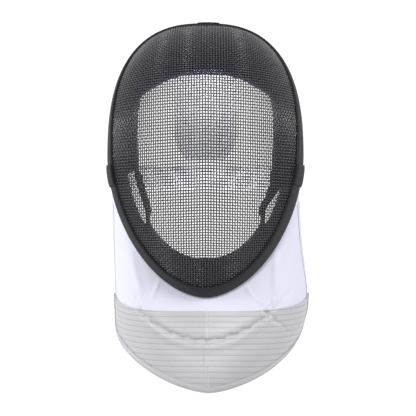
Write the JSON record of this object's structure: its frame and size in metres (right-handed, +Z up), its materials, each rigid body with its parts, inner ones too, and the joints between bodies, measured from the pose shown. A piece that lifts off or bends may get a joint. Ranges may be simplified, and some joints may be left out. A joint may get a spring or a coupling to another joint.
{
  "type": "foil fencing mask",
  "caption": "Fencing mask with a formed wire mesh front, bound edge, padded lining, sprung tongue, strap and a white bib with a grey conductive lower part.",
  "frame": {"origin": "where the crown of the wearer's head meets the lining, in the middle of the mask", "axes": "+Z up, -Y the way the wearer looks, +X the right side of a front view"},
  "size_m": [0.2167, 0.236, 0.3939],
  "materials": {
    "coated_wire": "black powder-coated steel wire, woven",
    "black_binding": "woven black binding tape",
    "navy_padding": "brushed navy cloth over foam",
    "black_padding": "brushed black cloth over foam",
    "white_cotton": "heavy white cotton, soft folds",
    "grey_lame": "grey conductive lame, quilted lines, slight metallic sheen",
    "white_elastic": "white woven elastic"
  },
  "bodies": {
    "root": {"wire_mesh": "coated_wire", "edge_trim": "black_binding", "crown_tab": "black_binding", "strap_tab_left": "black_binding", "strap_tab_right": "black_binding", "forehead_pad": "navy_padding", "temple_pad_left": "black_padding", "temple_pad_right": "black_padding", "chin_pad": "black_padding", "cheek_roll_left": "black_padding", "cheek_roll_right": "black_padding", "rim_lining_left": "black_padding", "rim_lining_right": "black_padding", "bib_cloth_left": "white_cotton", "bib_cloth_right": "white_cotton", "side_binding_left": "white_cotton", "side_binding_right": "white_cotton", "bib_lame_left": "grey_lame", "bib_lame_right": "grey_lame", "bib_hem": "grey_lame", "back_tongue": "white_cotton", "back_strap": "white_elastic"}
  },
  "joints": []
}
